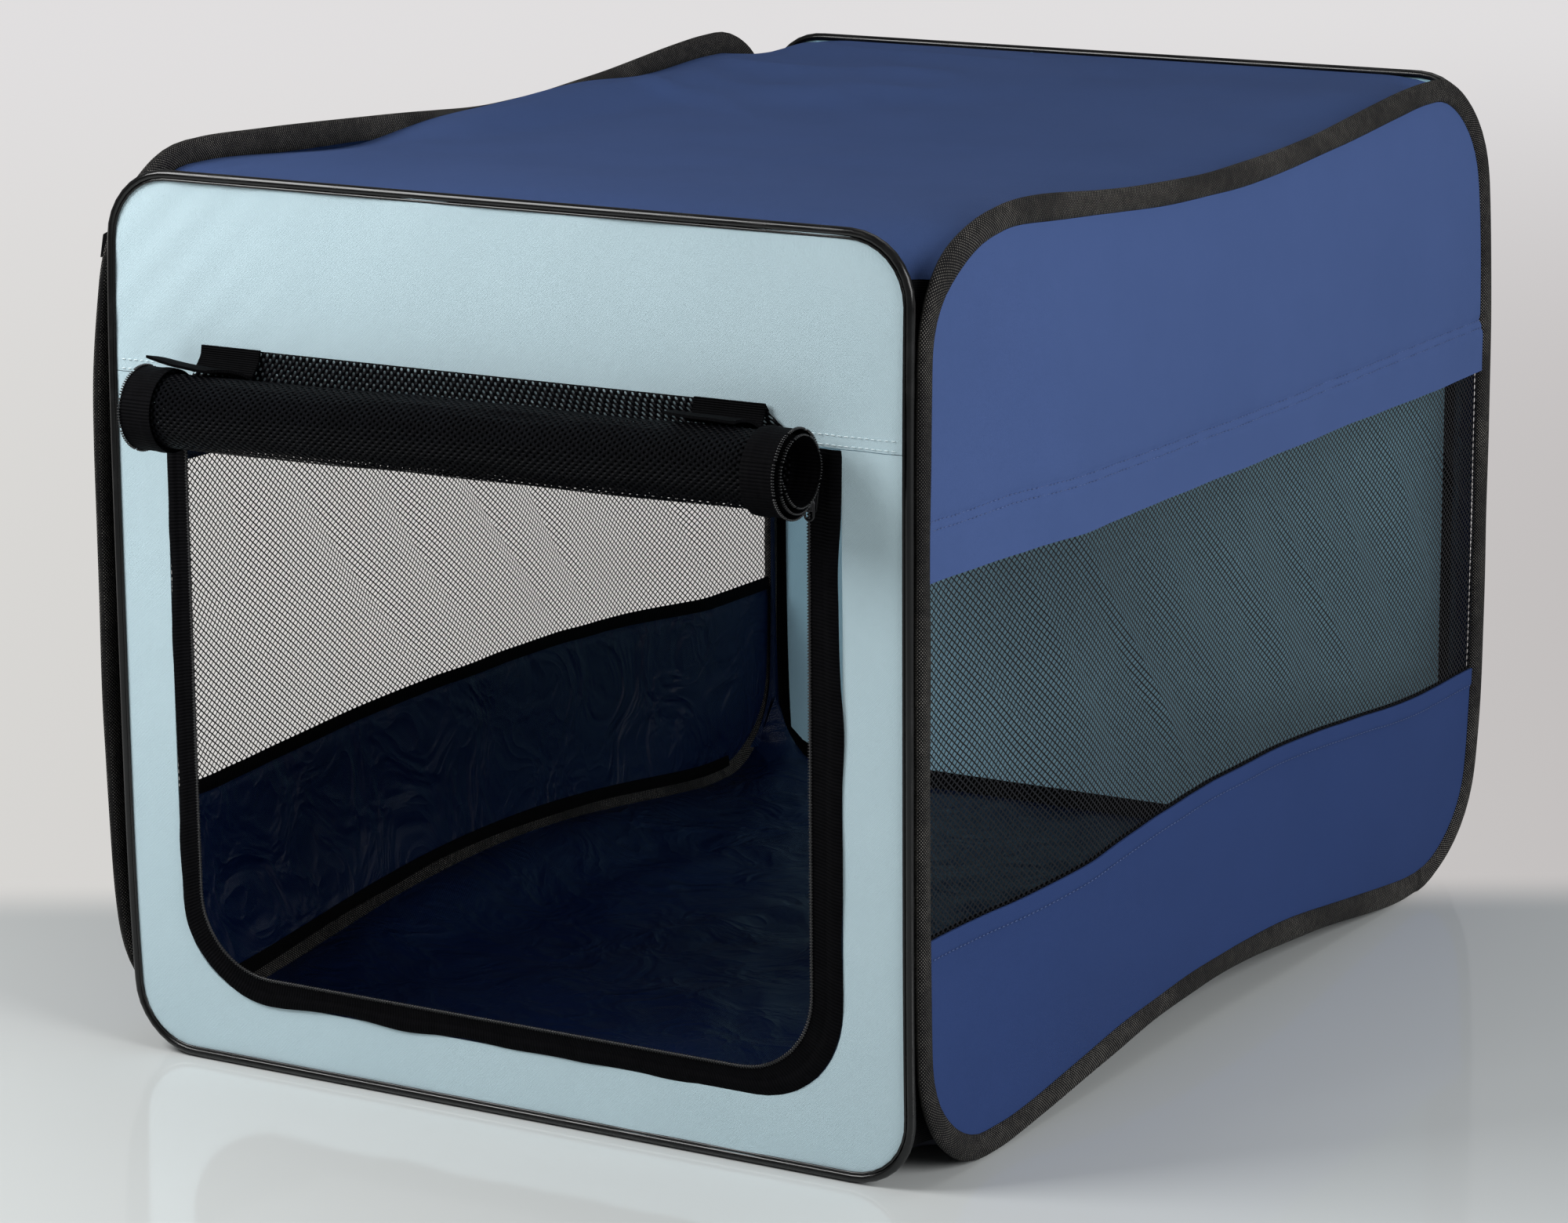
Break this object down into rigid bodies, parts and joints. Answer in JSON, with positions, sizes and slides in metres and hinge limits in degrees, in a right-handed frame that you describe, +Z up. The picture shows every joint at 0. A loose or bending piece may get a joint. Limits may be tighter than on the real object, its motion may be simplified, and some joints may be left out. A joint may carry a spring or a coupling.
{
  "type": "soft folding dog crate",
  "caption": "Soft folding pet crate: cloth and mesh panels on four spring-steel hoops, with a zipped mesh door rolled up over its opening.",
  "frame": {"origin": "on the underside of the floor, under the middle of the crate", "axes": "+Y from the door to the back, along the crate's length; +X to the right as one faces the door; +Z up"},
  "size_m": [0.4941, 0.6831, 0.4582],
  "materials": {
    "pale_cloth": "fine twill",
    "blue_cloth": "plain weave",
    "floor_cloth": "coated, slight sheen",
    "mesh": "open mesh",
    "binding": "coarse woven tape",
    "zip_tape": "ribbed tape",
    "zip_teeth": "coil teeth",
    "piping": "glossy bead",
    "spring_steel": "bright wire",
    "black_metal": "semi-gloss"
  },
  "bodies": {
    "right_side": {"right_hoop_wire": "spring_steel", "right_binding": "binding", "right_upper_band": "blue_cloth", "right_mesh_window": "mesh", "right_lower_band": "blue_cloth"},
    "left_side": {"left_hoop_wire": "spring_steel", "left_binding": "binding", "left_upper_band": "blue_cloth", "left_mesh_window": "mesh", "left_lower_band": "blue_cloth", "left_side_tab": "binding"},
    "front": {"front_hoop_wire": "spring_steel", "front_piping": "piping", "front_upper_panel": "pale_cloth", "front_frame_panel": "pale_cloth", "frame_zip_tape": "zip_tape", "frame_zip_teeth": "zip_teeth", "door_header": "mesh"},
    "back": {"back_hoop_wire": "spring_steel", "back_piping": "piping", "back_panel": "pale_cloth"},
    "roof_right": {"roof_panel_right": "blue_cloth"},
    "roof_left": {"roof_panel_left": "blue_cloth"},
    "floor_right": {"floor_panel_right": "floor_cloth"},
    "floor_left": {"floor_panel_left": "floor_cloth"},
    "slider_left": {"zip_slider_left": "black_metal"},
    "slider_right": {"zip_slider_right": "black_metal"},
    "pull_left": {"zip_pull_left": "black_metal"},
    "pull_right": {"zip_pull_right": "black_metal"},
    "strap_left": {"left_strap": "binding"},
    "strap_right": {"right_strap": "binding"},
    "door_strip_01": {"door_strip_01": "mesh"},
    "door_strip_02": {"door_strip_02": "mesh"},
    "door_strip_03": {"door_strip_03": "mesh"},
    "door_strip_04": {"door_strip_04": "mesh"},
    "door_strip_05": {"door_strip_05": "mesh"},
    "door_strip_06": {"door_strip_06": "mesh"},
    "door_strip_07": {"door_strip_07": "mesh"},
    "door_strip_08": {"door_strip_08": "mesh"},
    "door_strip_09": {"door_strip_09": "mesh"},
    "door_strip_10": {"door_strip_10": "mesh"},
    "door_strip_11": {"door_strip_11": "mesh"},
    "door_strip_12": {"door_strip_12": "mesh"},
    "door_strip_13": {"door_strip_13": "mesh"},
    "door_strip_14": {"door_strip_14": "mesh"},
    "door_strip_15": {"door_strip_15": "mesh"},
    "door_strip_16": {"door_strip_16": "mesh"},
    "door_strip_17": {"door_strip_17": "mesh"},
    "door_strip_18": {"door_strip_18": "mesh"},
    "door_strip_19": {"door_strip_19": "mesh"},
    "door_strip_20": {"door_strip_20": "mesh"},
    "door_strip_21": {"door_strip_21": "mesh"},
    "door_strip_22": {"door_strip_22": "mesh"}
  },
  "joints": [
    {"name": "fold", "type": "hinge", "parent": "right_side", "child": "front", "pos_m": [0.229, -0.311, 0], "axis": [0, 0, -1], "range_deg": [0, 80], "stiffness_Nm_per_rad": 0.5, "springref_deg": -85.94},
    {"name": "fold_left_side", "type": "hinge", "parent": "front", "child": "left_side", "pos_m": [-0.243, -0.311, 0], "axis": [0, 0, -1], "range_deg": [-80, 0]},
    {"name": "fold_back", "type": "hinge", "parent": "right_side", "child": "back", "pos_m": [0.243, 0.311, 0], "axis": [0, 0, -1], "range_deg": [0, 80]},
    {"name": "roof_right_fold", "type": "hinge", "parent": "right_side", "child": "roof_right", "pos_m": [0.2257, 0, 0.45125], "axis": [0, -1, 0], "range_deg": [0, 88], "deforming": ["roof_panel_right"]},
    {"name": "roof_left_fold", "type": "hinge", "parent": "left_side", "child": "roof_left", "pos_m": [-0.2257, 0, 0.45125], "axis": [0, 1, 0], "range_deg": [0, 88], "deforming": ["roof_panel_left"]},
    {"name": "floor_right_fold", "type": "hinge", "parent": "right_side", "child": "floor_right", "pos_m": [0.2257, 0, 0.006], "axis": [0, 1, 0], "range_deg": [0, 82], "deforming": ["floor_panel_right"]},
    {"name": "floor_left_fold", "type": "hinge", "parent": "left_side", "child": "floor_left", "pos_m": [-0.2257, 0, 0.006], "axis": [0, -1, 0], "range_deg": [0, 82], "deforming": ["floor_panel_left"]},
    {"name": "door_unroll", "type": "hinge", "parent": "front", "child": "door_strip_01", "pos_m": [0, -0.32214, 0.33917], "axis": [1, 0, 0], "range_deg": [0, 45], "deforming": ["left_strap", "right_strap"]},
    {"name": "door_fold_02", "type": "hinge", "parent": "door_strip_01", "child": "door_strip_02", "pos_m": [0, -0.33377, 0.32801], "axis": [1, 0, 0], "range_deg": [0, 45]},
    {"name": "door_fold_03", "type": "hinge", "parent": "door_strip_02", "child": "door_strip_03", "pos_m": [0, -0.34961, 0.32835], "axis": [1, 0, 0], "range_deg": [0, 45]},
    {"name": "door_fold_04", "type": "hinge", "parent": "door_strip_03", "child": "door_strip_04", "pos_m": [0, -0.36037, 0.33959], "axis": [1, 0, 0], "range_deg": [0, 45]},
    {"name": "door_fold_05", "type": "hinge", "parent": "door_strip_04", "child": "door_strip_05", "pos_m": [0, -0.36004, 0.35487], "axis": [1, 0, 0], "range_deg": [0, 45]},
    {"name": "door_fold_06", "type": "hinge", "parent": "door_strip_05", "child": "door_strip_06", "pos_m": [0, -0.34919, 0.36525], "axis": [1, 0, 0], "range_deg": [0, 45]},
    {"name": "door_fold_07", "type": "hinge", "parent": "door_strip_06", "child": "door_strip_07", "pos_m": [0, -0.33446, 0.36491], "axis": [1, 0, 0], "range_deg": [0, 45]},
    {"name": "door_fold_08", "type": "hinge", "parent": "door_strip_07", "child": "door_strip_08", "pos_m": [0, -0.32448, 0.35446], "axis": [1, 0, 0], "range_deg": [0, 45]},
    {"name": "door_fold_09", "type": "hinge", "parent": "door_strip_08", "child": "door_strip_09", "pos_m": [0, -0.32481, 0.34028], "axis": [1, 0, 0], "range_deg": [0, 45]},
    {"name": "door_fold_10", "type": "hinge", "parent": "door_strip_09", "child": "door_strip_10", "pos_m": [0, -0.33488, 0.33069], "axis": [1, 0, 0], "range_deg": [0, 45]},
    {"name": "door_fold_11", "type": "hinge", "parent": "door_strip_10", "child": "door_strip_11", "pos_m": [0, -0.3485, 0.33103], "axis": [1, 0, 0], "range_deg": [0, 45]},
    {"name": "door_fold_12", "type": "hinge", "parent": "door_strip_11", "child": "door_strip_12", "pos_m": [0, -0.35769, 0.3407], "axis": [1, 0, 0], "range_deg": [0, 45]},
    {"name": "door_fold_13", "type": "hinge", "parent": "door_strip_12", "child": "door_strip_13", "pos_m": [0, -0.35736, 0.35376], "axis": [1, 0, 0], "range_deg": [0, 45]},
    {"name": "door_fold_14", "type": "hinge", "parent": "door_strip_13", "child": "door_strip_14", "pos_m": [0, -0.34808, 0.36257], "axis": [1, 0, 0], "range_deg": [0, 45]},
    {"name": "door_fold_15", "type": "hinge", "parent": "door_strip_14", "child": "door_strip_15", "pos_m": [0, -0.33557, 0.36223], "axis": [1, 0, 0], "range_deg": [0, 45]},
    {"name": "door_fold_16", "type": "hinge", "parent": "door_strip_15", "child": "door_strip_16", "pos_m": [0, -0.32716, 0.35335], "axis": [1, 0, 0], "range_deg": [0, 45]},
    {"name": "door_fold_17", "type": "hinge", "parent": "door_strip_16", "child": "door_strip_17", "pos_m": [0, -0.32749, 0.34139], "axis": [1, 0, 0], "range_deg": [0, 45]},
    {"name": "door_fold_18", "type": "hinge", "parent": "door_strip_17", "child": "door_strip_18", "pos_m": [0, -0.33599, 0.33337], "axis": [1, 0, 0], "range_deg": [0, 45]},
    {"name": "door_fold_19", "type": "hinge", "parent": "door_strip_18", "child": "door_strip_19", "pos_m": [0, -0.34739, 0.33371], "axis": [1, 0, 0], "range_deg": [0, 45]},
    {"name": "door_fold_20", "type": "hinge", "parent": "door_strip_19", "child": "door_strip_20", "pos_m": [0, -0.35501, 0.34181], "axis": [1, 0, 0], "range_deg": [0, 45]},
    {"name": "door_fold_21", "type": "hinge", "parent": "door_strip_20", "child": "door_strip_21", "pos_m": [0, -0.35468, 0.35265], "axis": [1, 0, 0], "range_deg": [0, 45]},
    {"name": "door_fold_22", "type": "hinge", "parent": "door_strip_21", "child": "door_strip_22", "pos_m": [0, -0.34697, 0.35989], "axis": [1, 0, 0], "range_deg": [0, 45]},
    {"name": "slider_left_slide", "type": "slide", "parent": "front", "child": "slider_left", "axis": [0, 0, -1], "range_m": [0, 0.234]},
    {"name": "pull_left_swing", "type": "hinge", "parent": "slider_left", "child": "pull_left", "pos_m": [-0.18455, -0.3254, 0.3284], "axis": [-1, 0, 0], "range_deg": [0, 110]},
    {"name": "strap_left_lift", "type": "hinge", "parent": "front", "child": "strap_left", "pos_m": [-0.15975, -0.32335, 0.3655], "axis": [-1, 0, 0], "range_deg": [0, 80]},
    {"name": "slider_right_slide", "type": "slide", "parent": "front", "child": "slider_right", "axis": [0, 0, -1], "range_m": [0, 0.234]},
    {"name": "pull_right_swing", "type": "hinge", "parent": "slider_right", "child": "pull_right", "pos_m": [0.17395, -0.3254, 0.3284], "axis": [-1, 0, 0], "range_deg": [0, 110]},
    {"name": "strap_right_lift", "type": "hinge", "parent": "front", "child": "strap_right", "pos_m": [0.12712, -0.32335, 0.3655], "axis": [-1, 0, 0], "range_deg": [0, 80]}
  ],
  "couplings": [
    {"joint": "fold_left_side", "follows": "fold", "ratio": -1},
    {"joint": "fold_back", "follows": "fold", "ratio": 1},
    {"joint": "roof_right_fold", "follows": "fold", "ratio": 1.1},
    {"joint": "roof_left_fold", "follows": "fold", "ratio": 1.1},
    {"joint": "floor_right_fold", "follows": "fold", "ratio": 1.025},
    {"joint": "floor_left_fold", "follows": "fold", "ratio": 1.025},
    {"joint": "door_fold_02", "follows": "door_unroll", "ratio": 1},
    {"joint": "door_fold_03", "follows": "door_unroll", "ratio": 1},
    {"joint": "door_fold_04", "follows": "door_unroll", "ratio": 1},
    {"joint": "door_fold_05", "follows": "door_unroll", "ratio": 1},
    {"joint": "door_fold_06", "follows": "door_unroll", "ratio": 1},
    {"joint": "door_fold_07", "follows": "door_unroll", "ratio": 1},
    {"joint": "door_fold_08", "follows": "door_unroll", "ratio": 1},
    {"joint": "door_fold_09", "follows": "door_unroll", "ratio": 1},
    {"joint": "door_fold_10", "follows": "door_unroll", "ratio": 1},
    {"joint": "door_fold_11", "follows": "door_unroll", "ratio": 1},
    {"joint": "door_fold_12", "follows": "door_unroll", "ratio": 1},
    {"joint": "door_fold_13", "follows": "door_unroll", "ratio": 1},
    {"joint": "door_fold_14", "follows": "door_unroll", "ratio": 1},
    {"joint": "door_fold_15", "follows": "door_unroll", "ratio": 1},
    {"joint": "door_fold_16", "follows": "door_unroll", "ratio": 1},
    {"joint": "door_fold_17", "follows": "door_unroll", "ratio": 1},
    {"joint": "door_fold_18", "follows": "door_unroll", "ratio": 1},
    {"joint": "door_fold_19", "follows": "door_unroll", "ratio": 1},
    {"joint": "door_fold_20", "follows": "door_unroll", "ratio": 1},
    {"joint": "door_fold_21", "follows": "door_unroll", "ratio": 1},
    {"joint": "door_fold_22", "follows": "door_unroll", "ratio": 1}
  ]
}
